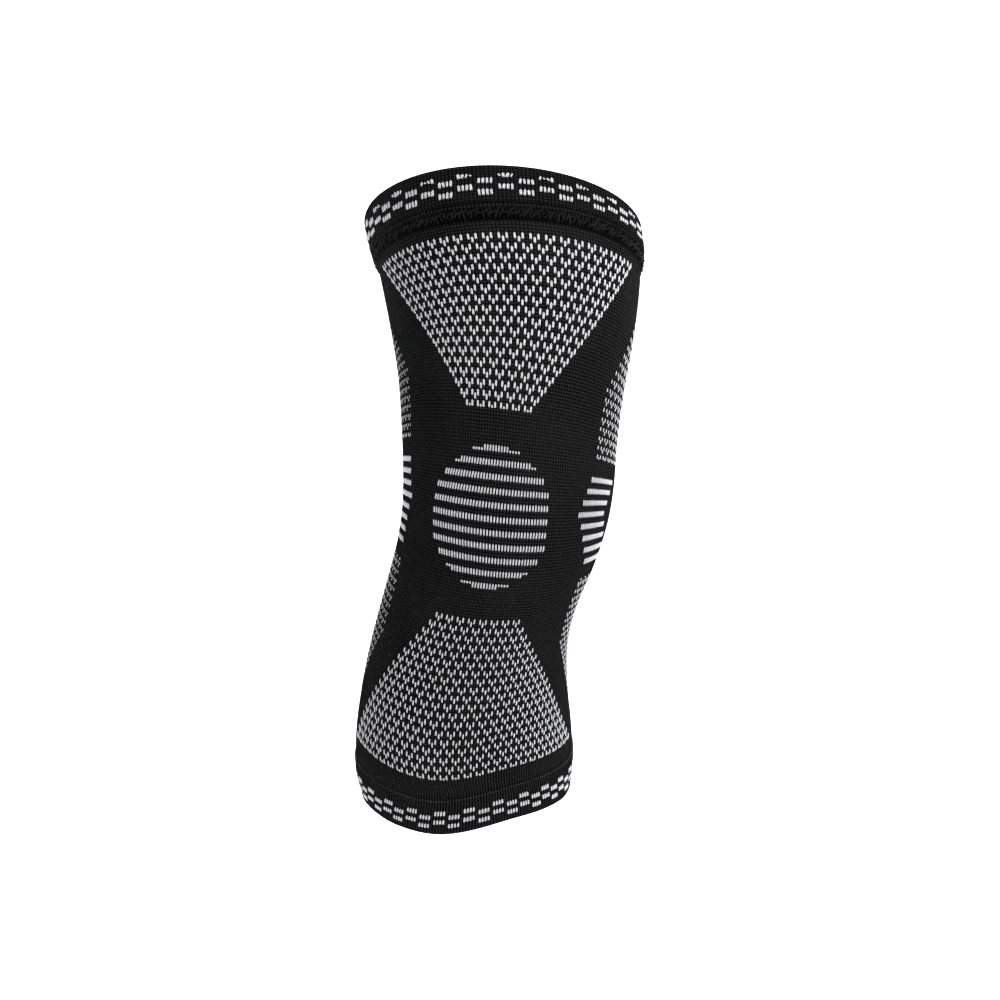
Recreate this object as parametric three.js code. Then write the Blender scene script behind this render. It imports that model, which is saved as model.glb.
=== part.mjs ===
// Knitted knee sleeve in its worn shape: a tube of thick knit, bent at the knee, with a sewn band at each end.
// Millimetres, +Z up, the front of the knee towards -Y. The origin is the middle of the leg at the kneecap.

import * as THREE from 'three';

// Size of the leg that the sleeve sits on
const SLEEVE_HEIGHT = 298;       // top rim to bottom rim, measured along Z at the middle of the leg
const THIGH_HALF_WIDTH = 71.5;   // outside half width of the knit at the top rim
const KNEE_HALF_WIDTH = 53.5;    // the same across the kneecap
const CALF_HALF_WIDTH = 58.5;    // the same at the calf band
const DEPTH_TO_WIDTH = 1.085;    // the leg is a little deeper than it is wide
const CALF_DRIFT = 22;           // how far the calf end sits to the side of the knee
const BEND_DEPTH = 40;           // how far the calf end sits behind the knee
const TWIST_TOP = -7;            // degrees that the front of the knit is turned at the top rim
const TWIST_BOTTOM = 1.5;        // the same at the bottom rim

// Cloth
const KNIT_WALL = 2.4;           // thickness of the knitted tube
const TOP_CUFF_DEPTH = 18.2;     // height of the thigh band
const TOP_CUFF_PROUD = 2.3;      // how far its outer face stands off the tube's
const BOTTOM_CUFF_DEPTH = 20;    // height of the calf band
const BOTTOM_CUFF_PROUD = 0.5;
const CUFF_INSET = 2;            // how far the bands' inner faces lie inside the tube's outer face
const SEAM_WIDTH = 7.2;          // height of the overlocked seam under the thigh band
const SEAM_PROUD = 2.1;          // how far its crest stands off the tube
const HEM_WAVE = 2.5;            // tallest rise of the wavy bottom hem
const CLEARANCE = 0.3;           // between pieces that touch

// Faceting
const SIDES_ROUND = 48;
const BODY_RINGS = 28;
const EDGE_STEPS = 4;            // facets on each rounded edge

// Cross sections from the top rim (down 0) to the bottom rim (down 1).
// down is a share of the knit's length, up of SLEEVE_HEIGHT, across of CALF_DRIFT and back of BEND_DEPTH.
// thigh, knee and calf are the shares of the three half widths that add up to the section's own.
// roll and lean are the degrees that the section's axis leans to the right and to the back.
const SECTIONS = [
  { down: 0.00, up: 0.507, across: -0.07, back: 0.55, thigh: 1.00, knee: 0.00, calf: 0.00, roll: 2, lean: 14 },
  { down: 0.05, up: 0.457, across: 0.05, back: 0.46, thigh: 0.95, knee: 0.04, calf: 0.00, roll: 0.5, lean: 14.5 },
  { down: 0.10, up: 0.401, across: 0.13, back: 0.36, thigh: 0.84, knee: 0.15, calf: 0.00, roll: 0.5, lean: 14.5 },
  { down: 0.18, up: 0.310, across: 0.17, back: 0.22, thigh: 0.59, knee: 0.40, calf: 0.00, roll: 1.5, lean: 14 },
  { down: 0.26, up: 0.222, across: 0.13, back: 0.095, thigh: 0.31, knee: 0.69, calf: 0.00, roll: 5, lean: 12 },
  { down: 0.34, up: 0.140, across: 0.09, back: 0.015, thigh: 0.14, knee: 0.87, calf: 0.00, roll: 7, lean: 7 },
  { down: 0.42, up: 0.062, across: 0.07, back: -0.015, thigh: 0.06, knee: 0.95, calf: 0.00, roll: 6.5, lean: 1 },
  { down: 0.49, up: -0.003, across: -0.01, back: 0.00, thigh: 0.00, knee: 1.00, calf: 0.00, roll: 6, lean: -5 },
  { down: 0.56, up: -0.068, across: -0.22, back: 0.06, thigh: 0.00, knee: 0.92, calf: 0.04, roll: 8, lean: -10.5 },
  { down: 0.63, up: -0.131, across: -0.51, back: 0.15, thigh: 0.00, knee: 0.80, calf: 0.125, roll: 7.5, lean: -14.5 },
  { down: 0.70, up: -0.191, across: -0.745, back: 0.27, thigh: 0.00, knee: 0.62, calf: 0.295, roll: 5, lean: -18 },
  { down: 0.77, up: -0.252, across: -0.90, back: 0.415, thigh: 0.00, knee: 0.42, calf: 0.51, roll: 2, lean: -20.5 },
  { down: 0.84, up: -0.321, across: -0.99, back: 0.585, thigh: 0.00, knee: 0.22, calf: 0.74, roll: -1, lean: -21 },
  { down: 0.90, up: -0.384, across: -1.015, back: 0.74, thigh: 0.00, knee: 0.08, calf: 0.91, roll: -3.5, lean: -19.5 },
  { down: 0.95, up: -0.438, across: -1.00, back: 0.865, thigh: 0.00, knee: 0.00, calf: 0.99, roll: -4.5, lean: -17.5 },
  { down: 1.00, up: -0.494, across: -0.955, back: 0.99, thigh: 0.00, knee: 0.00, calf: 0.952, roll: -4, lean: -15 },
];

// The bottom hem rises and dips by shares of HEM_WAVE; around is in degrees from the front, positive to the right.
const HEM = [
  { around: -180, rise: 0 },
  { around: -90, rise: 0.2 },
  { around: -62, rise: 0.5 },
  { around: -42, rise: -0.1 },
  { around: -15, rise: -0.65 },
  { around: 22, rise: 1 },
  { around: 47, rise: 0.4 },
  { around: 72, rise: -0.6 },
  { around: 110, rise: 0 },
  { around: 180, rise: 0 },
];
const HEM_STARTS = 0.86;         // the wave grows from here, as a share of the knit's length, to the bottom rim

// Smooth value of one column of a table at a place between its rows.
function smooth(rows, place, column, at) {
  let i = 0;
  while (i < rows.length - 2 && at > rows[i + 1][place]) i += 1;
  const slope = (k) => {
    const before = rows[Math.max(k - 1, 0)];
    const after = rows[Math.min(k + 1, rows.length - 1)];
    return (after[column] - before[column]) / (after[place] - before[place]);
  };
  const low = rows[i];
  const high = rows[i + 1];
  const span = high[place] - low[place];
  const t = (at - low[place]) / span;
  const t2 = t * t;
  const t3 = t2 * t;
  return (
    (2 * t3 - 3 * t2 + 1) * low[column] +
    (t3 - 2 * t2 + t) * span * slope(i) +
    (3 * t2 - 2 * t3) * high[column] +
    (t3 - t2) * span * slope(i + 1)
  );
}

// Middle of the leg at a share of the knit's length.
function middle(down) {
  return new THREE.Vector3(
    smooth(SECTIONS, 'down', 'across', down) * CALF_DRIFT,
    smooth(SECTIONS, 'down', 'back', down) * BEND_DEPTH,
    smooth(SECTIONS, 'down', 'up', down) * SLEEVE_HEIGHT,
  );
}

// A point off the knit's outer face: around in degrees from the front, off in millimetres outwards.
function onLeg(down, around, off) {
  const axis = new THREE.Vector3(
    Math.tan(THREE.MathUtils.degToRad(smooth(SECTIONS, 'down', 'roll', down))),
    Math.tan(THREE.MathUtils.degToRad(smooth(SECTIONS, 'down', 'lean', down))),
    1,
  ).normalize();
  const right = new THREE.Vector3(1, 0, 0).addScaledVector(axis, -axis.x).normalize();
  const rear = new THREE.Vector3().crossVectors(axis, right);
  const halfWidth =
    smooth(SECTIONS, 'down', 'thigh', down) * THIGH_HALF_WIDTH +
    smooth(SECTIONS, 'down', 'knee', down) * KNEE_HALF_WIDTH +
    smooth(SECTIONS, 'down', 'calf', down) * CALF_HALF_WIDTH;
  const turn = THREE.MathUtils.degToRad(TWIST_TOP + (TWIST_BOTTOM - TWIST_TOP) * down);
  const angle = THREE.MathUtils.degToRad(around);
  const side = (halfWidth + off) * Math.sin(angle);
  const front = (halfWidth * DEPTH_TO_WIDTH + off) * Math.cos(angle);
  const grown = Math.max(0, (down - HEM_STARTS) / (1 - HEM_STARTS));
  const rise = HEM_WAVE * smooth(HEM, 'around', 'rise', around) * grown * grown;
  return middle(down)
    .addScaledVector(right, side * Math.cos(turn) + front * Math.sin(turn))
    .addScaledVector(rear, side * Math.sin(turn) - front * Math.cos(turn))
    .addScaledVector(axis, rise);
}

// Length of the knit along the middle of the leg, which turns millimetres into shares of it.
function lengthOfKnit() {
  const steps = 200;
  let length = 0;
  for (let i = 0; i < steps; i += 1) {
    length += middle(i / steps).distanceTo(middle((i + 1) / steps));
  }
  return length;
}
const KNIT_LENGTH = lengthOfKnit();
const share = (millimetres) => millimetres / KNIT_LENGTH;

// A closed ring of cloth: an outline of { down, off } points carried once round the leg.
function ringOfCloth(outline) {
  const points = [];
  const faces = [];
  const count = outline.length;
  for (let s = 0; s < SIDES_ROUND; s += 1) {
    const around = -180 + (360 * s) / SIDES_ROUND;
    for (const { down, off } of outline) {
      points.push(...onLeg(down, around, off).toArray());
    }
    const here = s * count;
    const next = ((s + 1) % SIDES_ROUND) * count;
    for (let k = 0; k < count; k += 1) {
      const l = (k + 1) % count;
      faces.push(here + k, here + l, next + l, here + k, next + l, next + k);
    }
  }
  const geometry = new THREE.BufferGeometry();
  geometry.setAttribute('position', new THREE.Float32BufferAttribute(points, 3));
  geometry.setIndex(faces);
  geometry.computeVertexNormals();
  return geometry;
}

// Outline of a band with rounded edges, between two distances down the knit and two faces.
function bandOutline(top, bottom, inner, outer, rings) {
  const radius = (outer - inner) / 2;
  const centre = (outer + inner) / 2;
  const lift = Math.min(radius, (bottom - top) / 2);
  const outline = [];
  for (let i = 0; i <= EDGE_STEPS; i += 1) {
    const a = (Math.PI * i) / EDGE_STEPS;
    outline.push({ down: share(top + lift - lift * Math.sin(a)), off: centre - radius * Math.cos(a) });
  }
  for (let i = 1; i < rings; i += 1) {
    outline.push({ down: share(top + lift + ((bottom - top - 2 * lift) * i) / rings), off: outer });
  }
  for (let i = 0; i <= EDGE_STEPS; i += 1) {
    const a = (Math.PI * i) / EDGE_STEPS;
    outline.push({ down: share(bottom - lift + lift * Math.sin(a)), off: centre + radius * Math.cos(a) });
  }
  for (let i = rings - 1; i > 0; i -= 1) {
    outline.push({ down: share(top + lift + ((bottom - top - 2 * lift) * i) / rings), off: inner });
  }
  return outline;
}

// The tube's outline: its outer face down, then its inner face up, with plain cut edges inside the bands.
function tubeOutline(top, bottom) {
  const faceDown = [];
  for (let i = 0; i <= BODY_RINGS; i += 1) {
    faceDown.push(share(top + ((bottom - top) * i) / BODY_RINGS));
  }
  return [
    ...faceDown.map((down) => ({ down, off: 0 })),
    ...faceDown.toReversed().map((down) => ({ down, off: -KNIT_WALL })),
  ];
}

// The seam's outline: flat on the tube, with a low round crest.
function seamOutline(top, bottom) {
  const outline = [];
  for (let i = 0; i <= EDGE_STEPS; i += 1) {
    const t = i / EDGE_STEPS;
    const crest = CLEARANCE + (SEAM_PROUD - CLEARANCE) * (0.35 + 0.65 * Math.sin(Math.PI * t));
    outline.push({ down: share(top + (bottom - top) * t), off: crest });
  }
  outline.push({ down: share(bottom), off: CLEARANCE });
  outline.push({ down: share(top), off: CLEARANCE });
  return outline;
}

const bodyTop = TOP_CUFF_DEPTH + CLEARANCE;
const bodyBottom = KNIT_LENGTH - BOTTOM_CUFF_DEPTH - CLEARANCE;

const outlines = {
  knit_body: tubeOutline(bodyTop, bodyBottom),
  top_cuff: bandOutline(0, TOP_CUFF_DEPTH, -CUFF_INSET, TOP_CUFF_PROUD, 2),
  top_seam: seamOutline(bodyTop, bodyTop + SEAM_WIDTH),
  bottom_cuff: bandOutline(bodyBottom + CLEARANCE, KNIT_LENGTH, -CUFF_INSET, BOTTOM_CUFF_PROUD, 2),
};

const finishes = {
  knit_body: { color: 0x1d1d1f, roughness: 0.92, metalness: 0 },
  top_cuff: { color: 0x1a1a1c, roughness: 0.9, metalness: 0 },
  top_seam: { color: 0x101012, roughness: 0.95, metalness: 0 },
  bottom_cuff: { color: 0x1a1a1c, roughness: 0.9, metalness: 0 },
};

const kneeSleeve = new THREE.Group();
for (const [name, outline] of Object.entries(outlines)) {
  const piece = new THREE.Mesh(ringOfCloth(outline), new THREE.MeshStandardMaterial(finishes[name]));
  piece.name = name;
  kneeSleeve.add(piece);
}

export default kneeSleeve;
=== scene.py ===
# Knitted knee sleeve in its worn shape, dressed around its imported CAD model.
# Metres, +Z up the leg, the front of the knee towards -Y, the origin at the middle of the leg at the kneecap.

import math

import bpy
import numpy as np
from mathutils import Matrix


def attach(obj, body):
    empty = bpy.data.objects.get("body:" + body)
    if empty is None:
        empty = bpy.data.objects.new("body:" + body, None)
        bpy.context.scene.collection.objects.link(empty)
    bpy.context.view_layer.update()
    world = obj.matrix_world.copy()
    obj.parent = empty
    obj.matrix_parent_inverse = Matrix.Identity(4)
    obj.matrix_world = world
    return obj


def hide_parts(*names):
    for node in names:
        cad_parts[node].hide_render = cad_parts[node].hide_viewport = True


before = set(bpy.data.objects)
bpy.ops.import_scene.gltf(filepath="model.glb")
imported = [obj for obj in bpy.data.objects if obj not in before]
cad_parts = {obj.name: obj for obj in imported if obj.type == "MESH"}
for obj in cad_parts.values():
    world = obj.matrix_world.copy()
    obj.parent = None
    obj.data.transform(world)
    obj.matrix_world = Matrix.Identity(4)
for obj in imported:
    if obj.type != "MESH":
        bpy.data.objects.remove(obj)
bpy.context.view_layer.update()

# The leg that the sleeve sits on, as in part.mjs

SLEEVE_HEIGHT = 0.298
THIGH_HALF_WIDTH = 0.0715
KNEE_HALF_WIDTH = 0.0535
CALF_HALF_WIDTH = 0.0585
DEPTH_TO_WIDTH = 1.085
CALF_DRIFT = 0.022
BEND_DEPTH = 0.040
TWIST_TOP = -7.0
TWIST_BOTTOM = 1.5
KNIT_WALL = 0.0024
TOP_CUFF_DEPTH = 0.0182
TOP_CUFF_PROUD = 0.0023
BOTTOM_CUFF_DEPTH = 0.020
BOTTOM_CUFF_PROUD = 0.0005
CUFF_INSET = 0.002
SEAM_WIDTH = 0.0072
SEAM_PROUD = 0.0021
HEM_WAVE = 0.0025
CLEARANCE = 0.0003

# Rings of the knit, by their share of its length from the top: how far up, across and back their middles are,
# what share of the thigh's, knee's and calf's width they take, and the degrees that they roll and lean.
UP, ACROSS, BACK, THIGH, KNEE, CALF, ROLL, LEAN = range(1, 9)    # the columns after the first
SECTIONS = np.array([
    (0.00, 0.507, -0.07, 0.55, 1.00, 0.00, 0.00, 2, 14),
    (0.05, 0.457, 0.05, 0.46, 0.95, 0.04, 0.00, 0.5, 14.5),
    (0.10, 0.401, 0.13, 0.36, 0.84, 0.15, 0.00, 0.5, 14.5),
    (0.18, 0.310, 0.17, 0.22, 0.59, 0.40, 0.00, 1.5, 14),
    (0.26, 0.222, 0.13, 0.095, 0.31, 0.69, 0.00, 5, 12),
    (0.34, 0.140, 0.09, 0.015, 0.14, 0.87, 0.00, 7, 7),
    (0.42, 0.062, 0.07, -0.015, 0.06, 0.95, 0.00, 6.5, 1),
    (0.49, -0.003, -0.01, 0.00, 0.00, 1.00, 0.00, 6, -5),
    (0.56, -0.068, -0.22, 0.06, 0.00, 0.92, 0.04, 8, -10.5),
    (0.63, -0.131, -0.51, 0.15, 0.00, 0.80, 0.125, 7.5, -14.5),
    (0.70, -0.191, -0.745, 0.27, 0.00, 0.62, 0.295, 5, -18),
    (0.77, -0.252, -0.90, 0.415, 0.00, 0.42, 0.51, 2, -20.5),
    (0.84, -0.321, -0.99, 0.585, 0.00, 0.22, 0.74, -1, -21),
    (0.90, -0.384, -1.015, 0.74, 0.00, 0.08, 0.91, -3.5, -19.5),
    (0.95, -0.438, -1.00, 0.865, 0.00, 0.00, 0.99, -4.5, -17.5),
    (1.00, -0.494, -0.955, 0.99, 0.00, 0.00, 0.952, -4, -15),
])

# The waves of the hem: degrees round from the front, and rise as a share of HEM_WAVE
HEM = np.array([
    (-180, 0), (-90, 0.2), (-62, 0.5), (-42, -0.1), (-15, -0.65),
    (22, 1), (47, 0.4), (72, -0.6), (110, 0), (180, 0),
])
HEM_STARTS = 0.74    # the courses begin to wave here, as a share of the knit's length
HEM_FULL = 0.92      # and here they wave in full

# The knit is charted in wales, its columns of stitches, and courses, its rows.
# Wale 0 runs down the front and wales count to the right. Course 0 is the top row of the thigh block.

WALES = 230
TOP_COURSE = -21
BOTTOM_COURSE = 189
COURSES = BOTTOM_COURSE - TOP_COURSE

# How the wales and courses lie on the leg, by course. First the degrees that the wales turn in the middle,
# spread with the sine and with the double sine, and turn at both sides, then the courses that the rows tilt
# and bow.
LIE = np.array([
    (-21, 1.2, -0.1, 0.5, -0.8, -0.4, 0.9),
    (-15, 0.1, 0.7, 0.5, -0.8, 0.0, 1.2),
    (-9, -1.0, 1.5, 0.5, -0.8, 0.3, -0.6),
    (0, -0.4, 1.5, 0.5, 2.2, 0.6, -1.0),
    (30, 0.0, -5.5, 3.5, 2.5, 0.9, -1.0),
    (60, -2.6, -7.5, 1.5, 1.0, 0.3, -1.0),
    (81, -6.3, -2.5, 3.8, -2.0, 0.0, -2.2),
    (102, -2.2, -3.0, 2.0, 0.0, -1.4, -1.8),
    (135, 0.7, -2.5, 3.4, -3.0, -0.9, -1.3),
    (168, -0.6, -6.0, 2.5, -1.0, 1.2, -0.4),
    (175, 0.6, -9.6, 2.5, -1.0, 0.8, -0.3),
    (189, -1.8, -2.0, 2.5, -1.0, 0.0, 0.0),
])

CHART = "Knit"                   # the UV map that holds the chart on each cloth
CHART_COURSES = 2 * COURSES      # courses in that map's full height
CHART_MARGIN = 4                 # courses left free on it above the top rim
RIBS_START = 169                 # below this course the knit is all deep ribs
RIBS_BLEND = 2                   # courses to each side of it over which they grow
RIB = (1.0, 0.25, -1.0, 0.25)    # heights of the mesh columns of each wale, from its middle


def smooth(table, column, at):
    """Smooth values of a table's column at places between its rows; the first column holds the places."""
    at = np.asarray(at, float)
    places = table[:, 0]
    values = table[:, column]
    rows = np.arange(len(table))
    before = np.maximum(rows - 1, 0)
    after = np.minimum(rows + 1, len(table) - 1)
    slopes = (values[after] - values[before]) / (places[after] - places[before])
    i = np.clip(np.searchsorted(places, at, side="right") - 1, 0, len(table) - 2)
    span = places[i + 1] - places[i]
    t = (at - places[i]) / span
    return (
        (2 * t**3 - 3 * t**2 + 1) * values[i]
        + (t**3 - 2 * t**2 + t) * span * slopes[i]
        + (3 * t**2 - 2 * t**3) * values[i + 1]
        + (t**3 - t**2) * span * slopes[i + 1]
    )


def unit(vectors):
    return vectors / np.linalg.norm(vectors, axis=-1, keepdims=True)


def leg_middle(down):
    """The middle of the leg, this share of the way down the knit."""
    return np.stack([
        smooth(SECTIONS, ACROSS, down) * CALF_DRIFT,
        smooth(SECTIONS, BACK, down) * BEND_DEPTH,
        smooth(SECTIONS, UP, down) * SLEEVE_HEIGHT,
    ], -1)


def leg_place(down, around):
    """Points of the knit's outer face, and the directions that stand off it."""
    down, around = np.broadcast_arrays(np.asarray(down, float), np.asarray(around, float))
    axis = unit(np.stack([
        np.tan(np.radians(smooth(SECTIONS, ROLL, down))),
        np.tan(np.radians(smooth(SECTIONS, LEAN, down))),
        np.ones_like(down),
    ], -1))
    right = unit(np.array([1.0, 0, 0]) - axis * axis[..., :1])
    rear = np.cross(axis, right)
    half_width = (
        smooth(SECTIONS, THIGH, down) * THIGH_HALF_WIDTH
        + smooth(SECTIONS, KNEE, down) * KNEE_HALF_WIDTH
        + smooth(SECTIONS, CALF, down) * CALF_HALF_WIDTH
    )
    turn = np.radians(TWIST_TOP + (TWIST_BOTTOM - TWIST_TOP) * down)[..., None]
    angle = np.radians(around)[..., None]
    rightwards = right * np.cos(turn) + rear * np.sin(turn)
    frontwards = right * np.sin(turn) - rear * np.cos(turn)
    grown = np.clip((down - HEM_STARTS) / (HEM_FULL - HEM_STARTS), 0, 1)
    rise = HEM_WAVE * smooth(HEM, 1, around) * grown**2 * (3 - 2 * grown)
    outward = rightwards * np.sin(angle) + frontwards * np.cos(angle)
    width = half_width[..., None]
    place = (
        leg_middle(down)
        + rightwards * width * np.sin(angle)
        + frontwards * width * DEPTH_TO_WIDTH * np.cos(angle)
        + axis * rise[..., None]
    )
    return place, outward


def knit_place(course, wale):
    """The same for a place on the chart."""
    course = np.asarray(course, float)
    theta = 2 * np.pi * np.asarray(wale, float) / WALES
    middle, spread, double, side, tilt, bow = (smooth(LIE, column, course) for column in range(1, 7))
    around = (
        np.degrees(theta)
        + middle
        + spread * np.sin(theta)
        + double * np.sin(2 * theta)
        + side * np.sin(theta) ** 2
    )
    row = course + tilt * np.sin(theta) + bow * np.sin(theta) ** 2
    return leg_place((row - TOP_COURSE) / COURSES, (around + 180) % 360 - 180)


def length_of_knit():
    middles = leg_middle(np.linspace(0, 1, 201))
    return float(np.linalg.norm(np.diff(middles, axis=0), axis=1).sum())


MEAN_TO_KNEE = 1.08    # the knit's mean girth, as a share of that of a round knee
COURSE_PITCH = length_of_knit() / COURSES
WALE_PITCH = 2 * math.pi * KNEE_HALF_WIDTH * MEAN_TO_KNEE / WALES


def course_at(metres):
    """The course that lies this far down the knit from the top rim."""
    return TOP_COURSE + metres / COURSE_PITCH


# Nodes written as Python expressions

class Wire:
    """An output socket that takes part in plain sums."""

    def __init__(self, board, socket):
        self.board = board
        self.socket = socket

    def output(self, index):
        return Wire(self.board, self.socket.node.outputs[index])

    def __add__(self, other):
        return self.board.maths("ADD", self, other)

    __radd__ = __add__

    def __sub__(self, other):
        return self.board.maths("SUBTRACT", self, other)

    def __rsub__(self, other):
        return self.board.maths("SUBTRACT", other, self)

    def __mul__(self, other):
        return self.board.maths("MULTIPLY", self, other)

    __rmul__ = __mul__

    def __truediv__(self, other):
        return self.board.maths("DIVIDE", self, other)


class Board:
    """A node tree that is written as expressions."""

    def __init__(self, tree):
        self.tree = tree

    def node(self, kind, settings=None, sockets=None, output=0):
        made = self.tree.nodes.new(kind)
        for name, value in (settings or {}).items():
            setattr(made, name, value)
        for key, value in (sockets or {}).items():
            if isinstance(value, Wire):
                self.tree.links.new(value.socket, made.inputs[key])
            else:
                made.inputs[key].default_value = value
        return Wire(self, made.outputs[output]) if len(made.outputs) else None

    def maths(self, operation, *values):
        return self.node("ShaderNodeMath", {"operation": operation}, dict(enumerate(values)))

    def cosine(self, turns):
        """1 where turns is a whole number and -1 half way between."""
        return self.maths("COSINE", turns * (2 * math.pi))

    def off_middle(self, count):
        """Distance from the nearest whole number, 0 to 0.5."""
        return self.maths("PINGPONG", count, 0.5)

    def mix(self, amount, first, second):
        return self.node(
            "ShaderNodeMix",
            {"data_type": "RGBA"},
            {0: amount, 6: first, 7: second},
            output=2,
        )

    def between(self, value, low, high):
        """0 below low, 1 above high and smooth between."""
        return self.node(
            "ShaderNodeMapRange",
            {"interpolation_type": "SMOOTHSTEP"},
            {0: value, 1: low, 2: high, 3: 0.0, 4: 1.0},
        )

    def noise(self, place, scale, detail=2.0, roughness=0.5):
        return self.node(
            "ShaderNodeTexNoise",
            {},
            {"Vector": place, "Scale": scale, "Detail": detail, "Roughness": roughness},
        )


def grey(value):
    """A grey, a touch cool."""
    return (value, value, value * 1.02, 1.0)


def finish(name):
    """A new material, its board and its shader."""
    material = bpy.data.materials.new(name)
    material.use_nodes = True
    board = Board(material.node_tree)
    shader = material.node_tree.nodes["Principled BSDF"]
    return material, board, shader


def join(board, shader, **wires):
    """Wires into the shader's inputs, named with underscores for spaces."""
    for name, wire in wires.items():
        board.tree.links.new(wire.socket, shader.inputs[name.replace("_", " ")])


def object_place(board):
    return board.node("ShaderNodeTexCoord", output=3)


# Tones and depths of the yarns, and the painted shade down in the knit's grooves
GROOVE_SHADE_TONE = 0.0001          # down between the stitches
KNIT_BUMP = 0.0007            # metres
YARN_BUMP = 0.0002
KNIT_SPECULAR = 0.03
YARN_SPECULAR = 0.25
KNIT_SHEEN = (0.003, 0.55)    # its weight and roughness
YARN_SHEEN_ROUGHNESS = 0.4


def knit_finish(name, crest, rib, row, roughness=0.90, painted_shade_from=None):
    """Matt black yarn, knitted: the wales are ribs and the courses are rows of small loops.

    Crest is the tone of the highest yarn; down between the stitches the tone goes to painted shade. Rib and
    row are how strongly the wales and courses show. Where a course is given for the seam's groove, the knit
    is painted nearly black below it, as painted shade. Noise scales are per metre.
    """
    material, board, shader = finish(name)
    chart = board.node("ShaderNodeSeparateXYZ", {}, {0: board.node("ShaderNodeUVMap", {"uv_map": CHART})})
    wale = chart * WALES
    course = chart.output(1) * CHART_COURSES - CHART_MARGIN    # from the top rim down
    place = object_place(board)
    wander = board.noise(place, 260.0, 1.0) - 0.5
    off_wale = board.off_middle(wale + wander * 0.25)
    ribs = 0.5 + 0.5 * board.cosine(wale + wander * 0.25)
    loops = 0.5 - 0.5 * board.cosine(course + off_wale * 0.7 + wander * 0.3)
    fibres = board.noise(place, 5200.0, 3.0, 0.7)
    tufts = board.noise(place, 1500.0, 2.0, 0.6)
    ribs_start = RIBS_START - TOP_COURSE
    deep_ribs = board.between(course, ribs_start - RIBS_BLEND, ribs_start + RIBS_BLEND)
    body = ribs * (rib + deep_ribs * 0.6) + loops * (row - deep_ribs * (row * 0.6)) + ribs * loops * 0.5
    height = body + tufts * 0.45 + fibres * 0.22
    # Painted shade: the colour darkens from the crest tone down into the grooves between the stitches and
    # fibres
    lit = board.between(height, 0.60, 1.80)
    cloud = board.noise(place, 24.0, 3.0, 0.6)
    shade = board.mix(lit, grey(GROOVE_SHADE_TONE), grey(crest))
    # A slow cloud of lighter tone mottles the yarn over the painted shade
    mottle_and_painted_shade = board.mix(board.between(cloud, 0.35, 0.75) * 0.35, shade, grey(crest * 0.9))
    # Painted shade: below the given course the knit goes nearly black, as shade down in the seam's groove
    if painted_shade_from is not None:
        below = board.between(course, painted_shade_from - TOP_COURSE, painted_shade_from - TOP_COURSE + 0.6)
        mottle_and_painted_shade = board.mix(below * 0.85, mottle_and_painted_shade, grey(GROOVE_SHADE_TONE))
    bump = board.node("ShaderNodeBump", {}, {"Strength": 1.0, "Distance": KNIT_BUMP, "Height": height})
    join(board, shader, Base_Color=mottle_and_painted_shade, Normal=bump, Roughness=roughness - 0.12 * (lit - 0.5))
    shader.inputs["Sheen Weight"].default_value = KNIT_SHEEN[0]
    shader.inputs["Sheen Roughness"].default_value = KNIT_SHEEN[1]
    shader.inputs["Specular IOR Level"].default_value = KNIT_SPECULAR
    return material


def yarn_finish(name, dark, light, roughness, sheen, twist):
    """Twisted yarn: fine fibres, and a tone that changes slowly and from strand to strand."""
    material, board, shader = finish(name)
    place = object_place(board)
    fibres = board.noise(place, 4200.0, 3.0, 0.65)
    strands = board.noise(place, 1700.0, 2.0, 0.5)
    tone = board.noise(place, 420.0, 1.0, 0.5)
    mixed = board.between(tone * 0.25 + strands * 0.75, 0.30, 0.56)
    bump = board.node(
        "ShaderNodeBump", {}, {"Strength": twist, "Distance": YARN_BUMP, "Height": fibres * 0.5 + strands}
    )
    join(
        board,
        shader,
        Base_Color=board.mix(mixed, grey(dark), grey(light)),
        Normal=bump,
        Roughness=roughness + 0.1 * (fibres - 0.5),
    )
    shader.inputs["Sheen Weight"].default_value = sheen
    shader.inputs["Sheen Roughness"].default_value = YARN_SHEEN_ROUGHNESS
    shader.inputs["Specular IOR Level"].default_value = YARN_SPECULAR
    return material


black_knit = knit_finish("black_knit", crest=0.0190, rib=0.60, row=0.80)
cuff_knit = knit_finish("cuff_knit", crest=0.0180, rib=0.60, row=0.65)
ribbed_cuff = knit_finish("ribbed_cuff", crest=0.0190, rib=0.70, row=0.30)
# The overlock thread is black yarn, its tone set darker still as painted shade down in the seam's groove
seam_thread = yarn_finish("seam_thread", dark=0.0001, light=0.0022, roughness=0.92, sheen=0.01, twist=0.9)
white_yarn = yarn_finish("white_yarn", dark=0.46, light=0.70, roughness=0.88, sheen=0.03, twist=0.45)
fold_thread = yarn_finish("fold_thread", dark=0.006, light=0.040, roughness=0.92, sheen=0.01, twist=0.6)


# Cloth

def mesh_object(name, points, faces, material):
    mesh = bpy.data.meshes.new(name)
    mesh.from_pydata(points, [], faces)
    mesh.materials.append(material)
    mesh.polygons.foreach_set("use_smooth", np.ones(len(mesh.polygons), bool))
    piece = bpy.data.objects.new(name, mesh)
    bpy.context.scene.collection.objects.link(piece)
    return piece


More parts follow.
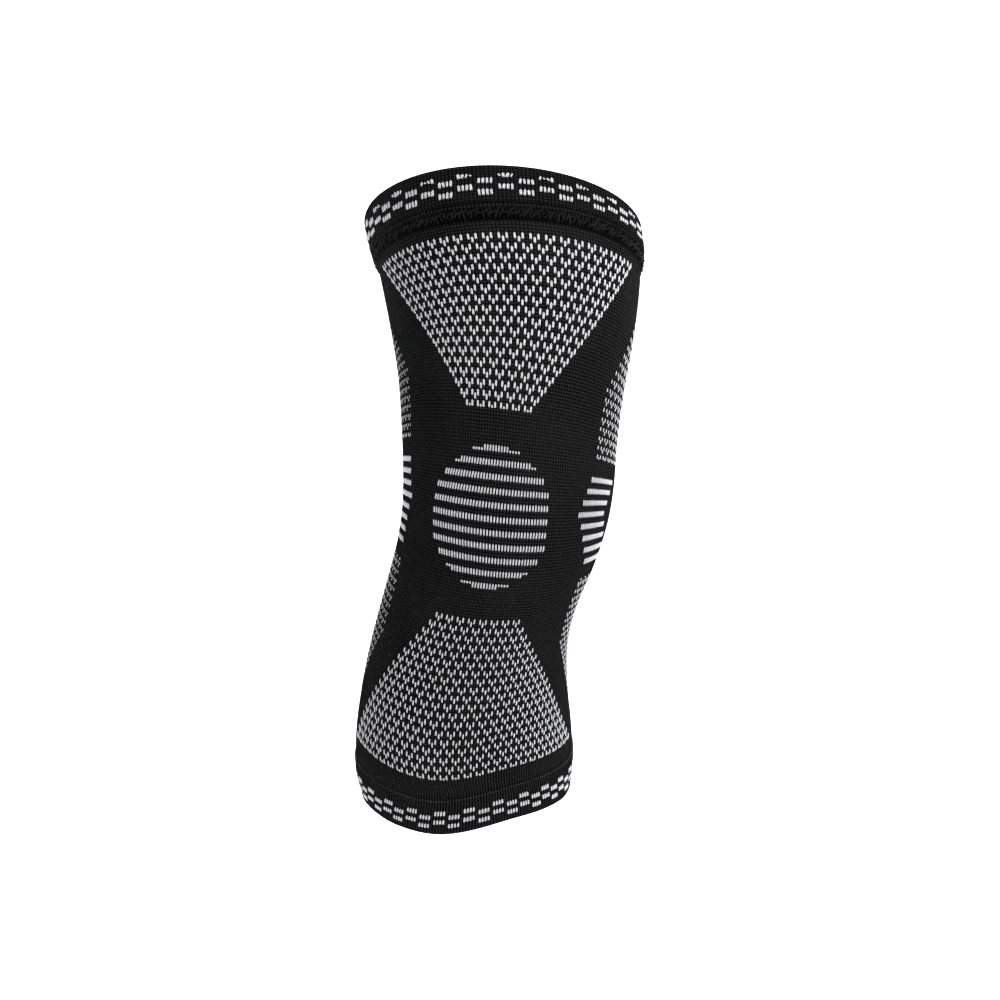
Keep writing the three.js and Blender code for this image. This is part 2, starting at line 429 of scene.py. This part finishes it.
def cloth(name, outline, material):
    """A closed ring of cloth, with its chart as a UV map and the directions that stand off it as attributes.

    The outline's rows are course, height, rib height, and 0 on the outer face or 1 off it.
    """
    rows = np.array(outline, float)
    columns = WALES * len(RIB)
    wale = (np.arange(columns) / len(RIB) - WALES / 2)[None, :]
    course = rows[:, :1]
    rib = np.tile(RIB, WALES)[None, :]
    bed, outward = knit_place(*np.broadcast_arrays(course, wale))
    height = rows[:, 1:2] + rows[:, 2:3] * rib
    points = (bed + outward * height[..., None]).reshape(-1, 3)

    count = len(rows)
    i = np.arange(count)[:, None]
    j = np.arange(columns)[None, :]
    below = (i + 1) % count
    beside = (j + 1) % columns
    corners = [
        i * columns + j,
        below * columns + j,
        below * columns + beside,
        i * columns + beside,
    ]
    faces = np.stack([np.broadcast_to(c, (count, columns)) for c in corners], -1).reshape(-1, 4)
    piece = mesh_object(name, points.tolist(), faces.tolist(), material)

    # The chart counts courses on the outer face and goes on by length round the rims and up the inside.
    ahead = np.vstack([rows[1:], rows[:1]]) - rows
    on_face = (rows[:, 3] == 0) & (np.roll(rows[:, 3], -1) == 0)
    steps = np.where(on_face, np.abs(ahead[:, 0]), np.hypot(ahead[:, 0], ahead[:, 1] / COURSE_PITCH))
    along = np.append(0, np.cumsum(steps))
    first = int(np.argmax(rows[:, 3] == 0))
    v_all = (rows[first, 0] - TOP_COURSE + CHART_MARGIN + along - along[first]) / CHART_COURSES
    v, v_below = v_all[:-1], v_all[1:]
    u = np.arange(columns + 1) / columns
    chart = np.empty((count, columns, 4, 2))
    chart[:, :, 0, 0] = chart[:, :, 1, 0] = u[:-1]
    chart[:, :, 2, 0] = chart[:, :, 3, 0] = u[1:]
    chart[:, :, 0, 1] = chart[:, :, 3, 1] = v[:, None]
    chart[:, :, 1, 1] = chart[:, :, 2, 1] = v_below[:, None]
    layer = piece.data.uv_layers.new(name=CHART)
    layer.data.foreach_set("uv", chart.astype(np.float32).ravel())

    ribs = (outward * (rows[:, 2:3] * rib)[..., None]).reshape(-1, 3)
    for label, vectors in (("bed", points - ribs), ("outward", outward.reshape(-1, 3))):
        field = piece.data.attributes.new(label, "FLOAT_VECTOR", "POINT")
        field.data.foreach_set("vector", vectors.astype(np.float32).ravel())
    return piece


def face_down(top, bottom, height, rib, step):
    """Rows of the outer face, from the top down."""
    count = max(1, round((bottom - top) / step))
    return [(top + (bottom - top) * k / count, height, rib, 0) for k in range(count + 1)]


def face_up(top, bottom, height, step):
    """Rows of the inner face, from the bottom up."""
    count = max(1, round((bottom - top) / step))
    return [(bottom - (bottom - top) * k / count, height, 0.0, 1) for k in range(count + 1)]


RIM_STEPS = 8            # rows of mesh round a rim
BAND_STEP = 0.75         # courses between the rows of a band's outer face
BAND_BACK_STEP = 4       # and of its inner face


def rim(edge, down, inner, outer, start, end):
    """Part of a rounded edge. Down is 1 at the bottom edge and -1 at the top one.

    Start and end count RIM_STEPS from the face that comes first.
    """
    radius = (outer - inner) / 2
    middle = (outer + inner) / 2
    lift = radius / COURSE_PITCH
    angles = [math.pi * k / RIM_STEPS for k in range(start, end)]
    return [
        (edge - down * lift * (1 - math.sin(a)), middle + down * radius * math.cos(a), 0.0, 1) for a in angles
    ]


def band(name, top, bottom, inner, outer, rib, material):
    """A doubled band of knit with a rounded rim at each end. Its outline starts at the top rim's crest."""
    lift = (outer - inner) / 2 / COURSE_PITCH
    crest = RIM_STEPS // 2
    outline = (
        rim(top, -1, inner, outer, crest, RIM_STEPS)
        + face_down(top + lift, bottom - lift, outer, rib, BAND_STEP)
        + rim(bottom, 1, inner, outer, 1, RIM_STEPS)
        + face_up(top + lift, bottom - lift, inner, BAND_BACK_STEP)
        + rim(top, -1, inner, outer, 1, crest)
    )
    return cloth(name, outline, material)


THIGH_BAND_BOTTOM = course_at(TOP_CUFF_DEPTH)
KNIT_TOP = course_at(TOP_CUFF_DEPTH + CLEARANCE)
KNIT_BOTTOM = BOTTOM_COURSE - (BOTTOM_CUFF_DEPTH + CLEARANCE) / COURSE_PITCH
CALF_BAND_TOP = BOTTOM_COURSE - BOTTOM_CUFF_DEPTH / COURSE_PITCH
SEAM_BOTTOM = course_at(TOP_CUFF_DEPTH + CLEARANCE + SEAM_WIDTH)

THIGH_RIM_RISE = 0.95    # courses that the rolled rim stands above the solid's
CALF_HEM_DROP = 0.8      # and that the hem hangs below it

# Heights of the ribs
KNIT_RIB = 0.00009
THIGH_BAND_RIB = 0.00010
CALF_BAND_RIB = 0.00020
SEAM_RIB = 0.00008

KNIT_STEP = 3         # courses between the rows of the knit's outer face
KNIT_BACK_STEP = 9    # and of its inner face

# The knit runs on a little way inside each band, so that no light shows at the seams.
TUCK = 0.0009 / COURSE_PITCH
knit_cloth = cloth(
    "knit_cloth",
    face_down(KNIT_TOP - TUCK, KNIT_BOTTOM + TUCK, 0.0, KNIT_RIB, KNIT_STEP)
    + face_up(KNIT_TOP - TUCK, KNIT_BOTTOM + TUCK, -KNIT_WALL, KNIT_BACK_STEP),
    black_knit,
)
thigh_band = band(
    "thigh_band",
    TOP_COURSE - THIGH_RIM_RISE,
    THIGH_BAND_BOTTOM,
    -CUFF_INSET,
    TOP_CUFF_PROUD,
    THIGH_BAND_RIB,
    cuff_knit,
)
calf_band = band(
    "calf_band",
    CALF_BAND_TOP,
    BOTTOM_COURSE + CALF_HEM_DROP,
    -CUFF_INSET,
    BOTTOM_CUFF_PROUD,
    CALF_BAND_RIB,
    ribbed_cuff,
)

# The seam, in shares of its width and height: a ridge under the band, a groove and the low overlocked roll
SEAM_PROFILE = [
    (0.00, 0.70), (0.05, 0.88), (0.11, 1.00), (0.20, 1.02), (0.27, 0.80), (0.31, 0.46), (0.38, 0.50),
    (0.48, 0.60), (0.56, 0.54), (0.64, 0.34), (0.72, 0.18), (0.84, 0.12), (1.00, 0.10),
]
SEAM_GROOVE = 0.28         # where the groove starts, as a share of the seam's width
OVERLOCK_MIDDLE = 0.56     # and where the middle of the overlocked roll is


def seam_course(share):
    """The course at this share of the seam's width."""
    return KNIT_TOP + share * (SEAM_BOTTOM - KNIT_TOP)


# The seam's knit is painted nearly black from the start of its groove down, as painted shade
seam_knit = knit_finish(
    "seam_knit", crest=0.0200, rib=0.60, row=0.35, roughness=0.92, painted_shade_from=seam_course(SEAM_GROOVE)
)
seam_rows = [(seam_course(down), SEAM_PROUD * share, SEAM_RIB, 0) for down, share in SEAM_PROFILE]
seam_roll = cloth("seam_roll", seam_rows + face_up(KNIT_TOP, SEAM_BOTTOM, CLEARANCE, KNIT_STEP), seam_knit)


# Stitches, laid on the cloth from the chart

YARN_SIDES = 5
YARN_END = 0.55    # the ends' radius, as a share of the yarn's


def yarn_loop(name, path, radius):
    """A yarn with closed, thinner ends. The path is in wales, courses upwards and metres off the cloth."""
    at = np.array(path, float)
    scale = np.array([WALE_PITCH, COURSE_PITCH, 1.0])
    at = at * scale
    along = unit(np.gradient(at, axis=0))
    out = np.array([0.0, 0.0, 1.0])
    side = unit(np.cross(along, out))
    up = np.cross(side, along)
    angles = 2 * np.pi * np.arange(YARN_SIDES) / YARN_SIDES
    girth = np.full(len(at), radius)
    girth[[0, -1]] *= YARN_END
    rings = (
        at[:, None]
        + side[:, None] * np.cos(angles)[None, :, None] * girth[:, None, None]
        + up[:, None] * np.sin(angles)[None, :, None] * girth[:, None, None]
    ) / scale
    faces = []
    for ring in range(0, (len(at) - 1) * YARN_SIDES, YARN_SIDES):
        for j in range(YARN_SIDES):
            k = (j + 1) % YARN_SIDES
            faces.append((ring + k, ring + YARN_SIDES + k, ring + YARN_SIDES + j, ring + j))
    last = (len(at) - 1) * YARN_SIDES
    faces.append(tuple(reversed(range(YARN_SIDES))))
    faces.append(tuple(last + j for j in range(YARN_SIDES)))
    mesh = bpy.data.meshes.new(name)
    mesh.from_pydata(rings.reshape(-1, 3).tolist(), [], faces)
    mesh.update()
    return bpy.data.objects.new(name, mesh)


def laying_tree():
    """Geometry nodes that set a yarn on each point of a chart and lay it on a cloth."""
    tree = bpy.data.node_groups.new("Lay yarn on the knit", "GeometryNodeTree")
    for label, kind in (
        ("Chart", "NodeSocketGeometry"),
        ("Cloth", "NodeSocketObject"),
        ("Yarn", "NodeSocketObject"),
        ("Sway", "NodeSocketFloat"),
        ("Uneven", "NodeSocketFloat"),
        ("Seed", "NodeSocketInt"),
        ("Finish", "NodeSocketMaterial"),
    ):
        tree.interface.new_socket(label, in_out="INPUT", socket_type=kind)
    tree.interface.new_socket("Stitches", in_out="OUTPUT", socket_type="NodeSocketGeometry")
    board = Board(tree)
    given = board.node("NodeGroupInput")
    chart, on_cloth, yarn, sway, uneven, seed, coat = (given.output(k) for k in range(7))
    cloth_mesh = board.node("GeometryNodeObjectInfo", {}, {"Object": on_cloth}, output=4)
    yarn_mesh = board.node("GeometryNodeObjectInfo", {}, {"Object": yarn}, output=4)

    def chance(offset, reach):
        """A number from -reach to reach, drawn for each stitch."""
        return board.node(
            "FunctionNodeRandomValue", {"data_type": "FLOAT"},
            {2: reach * -1.0, 3: reach, 8: seed + offset}, output=1,
        )

    def field(label, kind="FLOAT"):
        return board.node("GeometryNodeInputNamedAttribute", {"data_type": kind}, {"Name": label})

    lean = field("lean") + chance(1.0, sway)
    turn = board.node(
        "FunctionNodeEulerToRotation", {},
        {0: board.node("ShaderNodeCombineXYZ", {}, {2: lean})},
    )
    size = board.node("ShaderNodeCombineXYZ", {}, {
        0: field("wide") * (1.0 + chance(2.0, uneven)),
        1: field("tall") * (1.0 + chance(3.0, uneven)),
        2: 1.0 + chance(4.0, uneven),
    })
    laid = board.node(
        "GeometryNodeInstanceOnPoints", {},
        {"Points": chart, "Instance": yarn_mesh, "Rotation": turn, "Scale": size},
    )
    real = board.node("GeometryNodeRealizeInstances", {}, {0: laid})
    here = board.node("ShaderNodeSeparateXYZ", {}, {0: board.node("GeometryNodeInputPosition")})
    u = board.maths("FRACT", here / WALES + 0.5)
    v = (CHART_MARGIN - TOP_COURSE - here.output(1)) / CHART_COURSES
    on_chart = board.node("ShaderNodeCombineXYZ", {}, {0: u, 1: v})

    def on_knit(label):
        """What the cloth's attribute says at this place of the chart."""
        return board.node(
            "GeometryNodeSampleUVSurface", {"data_type": "FLOAT_VECTOR"},
            {
                "Mesh": cloth_mesh,
                "Value": field(label, "FLOAT_VECTOR"),
                "Source UV Map": field(CHART, "FLOAT_VECTOR"),
                "Sample UV": on_chart,
            },
        )

    proud = board.node(
        "ShaderNodeVectorMath", {"operation": "SCALE"},
        {0: on_knit("outward"), "Scale": here.output(2)},
    )
    place = board.node("ShaderNodeVectorMath", {"operation": "ADD"}, {0: on_knit("bed"), 1: proud})
    set_down = board.node("GeometryNodeSetPosition", {}, {"Geometry": real, "Position": place})
    smoothed = board.node("GeometryNodeSetShadeSmooth", {}, {"Geometry": set_down})
    coated = board.node("GeometryNodeSetMaterial", {}, {"Geometry": smoothed, "Material": coat})
    board.node("NodeGroupOutput", {}, {0: coated})
    return tree


LAYING = laying_tree()


def lay(name, chart, on_cloth, yarn, material, sway=0.03, uneven=0.04, seed=1):
    """A piece of stitches. The chart's rows are wale, course of the middle, width, height and lean."""
    rows = np.array(chart, float)
    places = np.stack([rows[:, 0], -rows[:, 1], np.zeros(len(rows))], -1)
    mesh = bpy.data.meshes.new(name)
    mesh.from_pydata(places.tolist(), [], [])
    for label, column in (("wide", 2), ("tall", 3), ("lean", 4)):
        field = mesh.attributes.new(label, "FLOAT", "POINT")
        field.data.foreach_set("value", rows[:, column].astype(np.float32))
    chart_object = bpy.data.objects.new(name + "_chart", mesh)
    bpy.context.scene.collection.objects.link(chart_object)
    modifier = chart_object.modifiers.new("Stitches", "NODES")
    modifier.node_group = LAYING
    values = {
        "Cloth": on_cloth, "Yarn": yarn, "Sway": sway, "Uneven": uneven, "Seed": seed, "Finish": material,
    }
    for item in LAYING.interface.items_tree:
        if item.in_out == "INPUT" and item.name in values:
            modifier[item.identifier] = values[item.name]
    bpy.context.view_layer.update()
    ready = chart_object.evaluated_get(bpy.context.evaluated_depsgraph_get())
    laid = bpy.data.meshes.new_from_object(ready)
    bpy.data.objects.remove(chart_object)
    laid.name = name
    piece = bpy.data.objects.new(name, laid)
    bpy.context.scene.collection.objects.link(piece)
    return piece


# The yarns that are laid. Where the sides' stitches are pulled tighter, their loops are thin and flat.
TIGHT_SHARE = 0.45
STITCH_PATH = [
    (-0.20, -1.02, -0.00005), (-0.20, -0.62, 0.00022), (-0.165, -0.05, 0.00026),
    (-0.235, 0.52, 0.00030), (0.0, 1.02, 0.00020), (0.235, 0.52, 0.00030),
    (0.165, -0.05, 0.00026), (0.20, -0.62, 0.00022), (0.20, -1.02, -0.00005),
]
OVERLOCK_PATH = [
    (0.6, 0.9, -0.0001), (0.4, 0.6, 0.0003), (0.1, 0.1, 0.0005), (-0.3, -0.5, 0.0003), (-0.6, -0.9, -0.0001),
]
stitch_loop = yarn_loop("stitch_loop", STITCH_PATH, radius=0.00027)
tight_loop = yarn_loop("tight_loop", [(x, y, z * TIGHT_SHARE) for x, y, z in STITCH_PATH], radius=0.00018)
overlock_loop = yarn_loop("overlock_loop", OVERLOCK_PATH, radius=0.00034)

# Width, height and lean of each kind of stitch. A whole loop is about one wale wide and two courses tall.
FULL = (0.84, 0.82, 0.0)
DOT = (0.76, 0.36, 0.0)
STRIPE = (0.66, 0.88, 0.0)
CALF_FULL = (0.68, 0.84, 0.0)
RIGHT_FULL = (0.66, 0.62, 0.0)
LEFT_FULL = (0.46, 0.48, 0.0)    # the left side turns away from the front, and its stitches show smaller
BAR = (1.05, 0.92, 0.0)
CHECK = (0.84, 0.92, 0.0)
FOLD = (0.85, 0.28, 0.0)
OVERLOCK = (1.0, 1.0, 0.0)
FRAYED = [(0.75, 0.45, 0.5), (0.60, 0.62, -0.3), (0.95, 0.80, 0.1), (0.55, 0.34, 0.8), (0.90, 0.70, -0.2)]

ROW_COURSES = 3    # the small repeat's rows are this many courses apart


def lower_wale(row):
    """The wale, counted in fours, of the lower stitches in this row of the small repeat."""
    return 2 if row % 2 == 0 else 0


def diaper(rows, full=FULL):
    """The small repeat: a stitch on each odd wale, and one a course lower on every fourth wale between.

    Each row is its first course, its first and last wale, its lower stitches' wale counted in fours, and
    whether those are cut short.
    """
    chart = []
    for course, first, last, phase, short in rows:
        for wale in range(first, last + 1):
            if wale % 2:
                chart.append((wale, course + 1, *full))
            elif wale % 4 == phase:
                if short:
                    chart.append((wale, course + 1.5, *DOT))
                else:
                    chart.append((wale, course + 2, *full))
    return chart


# The front blocks: the thigh's narrows by two wales to each side in each row, and the calf's widens as much.
THIGH_ROWS = 17
THIGH_REACH = 43      # wales to each side of the middle in its first row
CALF_ROWS = 19
CALF_START = 112      # its first course
CALF_REACH = 15       # wales to each side of the middle in its first row
thigh_chart = diaper([
    (ROW_COURSES * row, 2 * row - THIGH_REACH, THIGH_REACH - 2 * row, lower_wale(row), row == THIGH_ROWS - 1)
    for row in range(THIGH_ROWS)
])
calf_chart = diaper([
    (
        CALF_START + ROW_COURSES * row,
        -CALF_REACH - 2 * row,
        CALF_REACH + 2 * row,
        lower_wale(row),
        row == CALF_ROWS - 1,
    )
    for row in range(CALF_ROWS)
], CALF_FULL)

# The kneecap's stripes: first course, wales to each side in full stitches, then wales to each side in all
KNEECAP_MIDDLE = 81
KNEECAP_STRIPES = [
    (60, 4, 8), (64, 12, 14), (68, 17, 17), (72, 19, 19), (76, 19, 19), (80, 19, 19),
    (84, 19, 19), (88, 19, 19), (92, 17, 17), (96, 12, 14), (100, 4, 8),
]
kneecap_chart = []
for course, full, dots in KNEECAP_STRIPES:
    for wale in range(-dots, dots + 1):
        if abs(wale) <= full:
            kneecap_chart.append((wale, course + 1, *STRIPE))
        else:
            kneecap_chart.append((wale, course + (1.5 if course < KNEECAP_MIDDLE else 0.5), *DOT))

# The motif on each side: a block that widens down the thigh, a chevron of bars and a block down the calf.
SIDE_MIDDLE = 63      # its middle wale, about which it mirrors itself
SIDE_NEAR = 41        # its blocks' nearest wale to the front
SIDE_ROWS = 18        # in each block
SIDE_UPPER = 58       # first course of the upper block's lowest row, which is charted first
SIDE_LOWER = 102      # first course of the lower block
UPPER_STRAIGHT = 7    # rows from the knee before the upper block narrows
LOWER_STRAIGHT = 8    # and before the lower one does
BARS = 8
BAR_LENGTH = 18       # in wales
BAR_START = 67        # the middle course of the first bar
BAR_PITCH = 4         # in courses
BAR_POINT = 3         # the bar at the chevron's point
BAR_NEAR = 33         # and that bar's nearest wale to the front


def side_chart(full):
    """The motif of the right side, with its blocks in stitches of this shape."""
    rows = []
    for k in range(SIDE_ROWS):
        near = SIDE_NEAR + 2 * max(0, k - UPPER_STRAIGHT)
        rows.append((SIDE_UPPER - ROW_COURSES * k, near, 2 * SIDE_MIDDLE - near, lower_wale(k), k == 0))
    for k in range(SIDE_ROWS):
        near = SIDE_NEAR + 2 * max(0, k - LOWER_STRAIGHT)
        rows.append((SIDE_LOWER + ROW_COURSES * k, near, 2 * SIDE_MIDDLE - near, lower_wale(k), False))
    chart = diaper(rows, full)
    for wale in range(SIDE_NEAR + 1, 2 * SIDE_MIDDLE - SIDE_NEAR - 2, 4):
        chart.append((wale, SIDE_LOWER - 0.5, *DOT))
    for k in range(BARS):
        near = BAR_NEAR + 2 * abs(k - BAR_POINT)
        course = BAR_START + BAR_PITCH * k
        for wale in range(near, near + BAR_LENGTH):
            chart.append((wale, course, *BAR))
            chart.append((2 * SIDE_MIDDLE - wale, course, *BAR))
    return chart


right_chart = side_chart(RIGHT_FULL)
left_chart = [(-wale, *rest) for wale, *rest in side_chart(LEFT_FULL)]


CHECK_WALES = 4          # white wales in a check
CHECK_PITCH = 5          # wales from one check to the next
FRAYED_LEVEL = -17.8     # the course of the thigh band's broken checks


def checks(levels, first_wale, frayed=None):
    """Checks all round, in turn on two levels and on the two between; the frayed level's are broken."""
    chart = []
    for block in range(WALES // CHECK_PITCH):
        for level in levels[block % 2]:
            for k in range(CHECK_WALES):
                wale = (first_wale + CHECK_PITCH * block + k + WALES / 2) % WALES - WALES / 2
                broken = FRAYED[(block * 3 + k * 2) % len(FRAYED)]
                chart.append((wale, level, *(broken if level == frayed else CHECK)))
    return chart


thigh_checks_chart = checks(((FRAYED_LEVEL, -13.7), (-15.85, -11.85)), 3, frayed=FRAYED_LEVEL)
calf_checks_chart = checks(((180.6, 184.2), (182.4, 186.0)), -10)

# The overlock's crossing threads, and the row of stitches at the calf band's fold
OVERLOCK_THREADS = 368
OVERLOCK_SHIFTS = (0.0, 0.6, -0.4, 0.3, -0.7)    # courses off the middle, in turn
FOLD_COURSE = 175.5
FOLD_SHIFTS = (0.0, 0.25)
overlock_chart = []
for k in range(OVERLOCK_THREADS):
    shift = OVERLOCK_SHIFTS[k % len(OVERLOCK_SHIFTS)]
    wale = WALES / OVERLOCK_THREADS * k - WALES / 2
    overlock_chart.append((wale, seam_course(OVERLOCK_MIDDLE) + shift, *OVERLOCK))
fold_chart = []
for k in range(WALES):
    fold_chart.append((k - WALES / 2, FOLD_COURSE + FOLD_SHIFTS[k % len(FOLD_SHIFTS)], *FOLD))

# The pieces of stitches, each laid with its own sway, unevenness and seed
on_the_knit = [
    lay("thigh_stitches", thigh_chart, knit_cloth, stitch_loop, white_yarn, seed=1),
    lay("kneecap_stripes", kneecap_chart, knit_cloth, stitch_loop, white_yarn, seed=2),
    lay("calf_stitches", calf_chart, knit_cloth, stitch_loop, white_yarn, seed=3),
    lay("right_side_stitches", right_chart, knit_cloth, tight_loop, white_yarn, seed=4),
    lay("left_side_stitches", left_chart, knit_cloth, tight_loop, white_yarn, seed=5),
]
thigh_checks = lay(
    "thigh_band_checks", thigh_checks_chart, thigh_band, stitch_loop, white_yarn,
    sway=0.12, uneven=0.12, seed=6,
)
calf_checks = lay(
    "calf_band_checks", calf_checks_chart, calf_band, stitch_loop, white_yarn,
    sway=0.04, uneven=0.06, seed=7,
)
fold_stitches = lay(
    "calf_fold_stitches", fold_chart, calf_band, stitch_loop, fold_thread,
    sway=0.1, uneven=0.2, seed=9,
)
overlock = lay(
    "overlock_threads", overlock_chart, seam_roll, overlock_loop, seam_thread,
    sway=0.7, uneven=0.45, seed=8,
)

# The stitches are down, so the cloths' own directions aren't needed any more.
for piece in (knit_cloth, thigh_band, calf_band, seam_roll):
    for label in ("bed", "outward"):
        piece.data.attributes.remove(piece.data.attributes[label])

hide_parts("knit_body")
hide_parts("top_cuff")
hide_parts("top_seam")
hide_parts("bottom_cuff")
for piece, slot in (
    [(knit_cloth, "black_knit"), (thigh_band, "cuff_knit"), (calf_band, "cuff_knit")]
    + [(seam_roll, "seam_thread"), (overlock, "seam_thread"), (fold_stitches, "cuff_knit")]
    + [(piece, "white_yarn") for piece in on_the_knit + [thigh_checks, calf_checks]]
):
    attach(piece, "root")

# Studio

FLOOR = -0.30
FLOOR_FRONT = -4.0
FLOOR_BACK = 1.6
WALL = 2.4
WALL_TOP = 4.0
HALF_WIDTH = 5.0
SWEEP_STEPS = 16


def sweep():
    """A pale floor that curves up into a pale wall."""
    profile = [(FLOOR_FRONT, FLOOR), (FLOOR_BACK, FLOOR)]
    for k in range(1, SWEEP_STEPS + 1):
        a = math.pi / 2 * k / SWEEP_STEPS
        run = WALL - FLOOR_BACK
        profile.append((FLOOR_BACK + run * math.sin(a), FLOOR + run * (1 - math.cos(a))))
    profile.append((WALL, WALL_TOP))
    points = [(x, y, z) for y, z in profile for x in (-HALF_WIDTH, HALF_WIDTH)]
    faces = [(2 * k, 2 * k + 1, 2 * k + 3, 2 * k + 2) for k in range(len(profile) - 1)]
    material, board, shader = finish("pale_floor")
    tone = board.noise(object_place(board), 1.2, 1.0)
    join(board, shader, Base_Color=board.mix(tone, grey(0.90), grey(0.93)))
    shader.inputs["Roughness"].default_value = 0.9
    shader.inputs["Specular IOR Level"].default_value = 0.1
    return mesh_object("studio_sweep", points, faces, material)


def light(name, place, aim, size, power):
    """A rectangular lamp, turned to its aim."""
    lamp = bpy.data.lights.new(name, "AREA")
    lamp.shape = "RECTANGLE"
    lamp.size, lamp.size_y = size
    lamp.energy = power
    holder = bpy.data.objects.new(name, lamp)
    bpy.context.scene.collection.objects.link(holder)
    holder.location = place
    direction = np.array(aim, float) - np.array(place, float)
    level = math.hypot(direction[0], direction[1])
    tilt = math.atan2(level, -direction[2])
    turn = math.atan2(direction[1], direction[0]) - math.pi / 2
    holder.rotation_euler = (tilt, 0, turn)


sweep()
light("key_light", (1.4, -1.2, 1.5), (0, 0, 0), (1.0, 1.0), 58)
light("fill_light", (-1.4, -1.3, 0.5), (0, 0, 0), (1.0, 1.6), 5)
light("wall_light", (0, 0.9, 1.3), (0, 2.4, 0.2), (3.0, 0.8), 70)
light("back_light", (0.3, 1.2, 1.8), (0, 0, 0), (1.6, 0.8), 22)

world = bpy.data.worlds.new("Studio")
world.use_nodes = True
bpy.context.scene.world = world
background = world.node_tree.nodes["Background"]
background.inputs["Color"].default_value = (1.0, 1.0, 1.0, 1.0)
background.inputs["Strength"].default_value = 0.60
bpy.context.scene.view_settings.view_transform = "Standard"
bpy.context.scene.view_settings.look = "None"

lens = bpy.data.cameras.new("camera")
lens.lens = 72.0
lens.sensor_width = 36.0
camera = bpy.data.objects.new("camera", lens)
bpy.context.scene.collection.objects.link(camera)
camera.location = (-0.0028, -1.0415, 0.0059)
camera.rotation_euler = (math.pi / 2, 0, 0)
bpy.context.scene.camera = camera
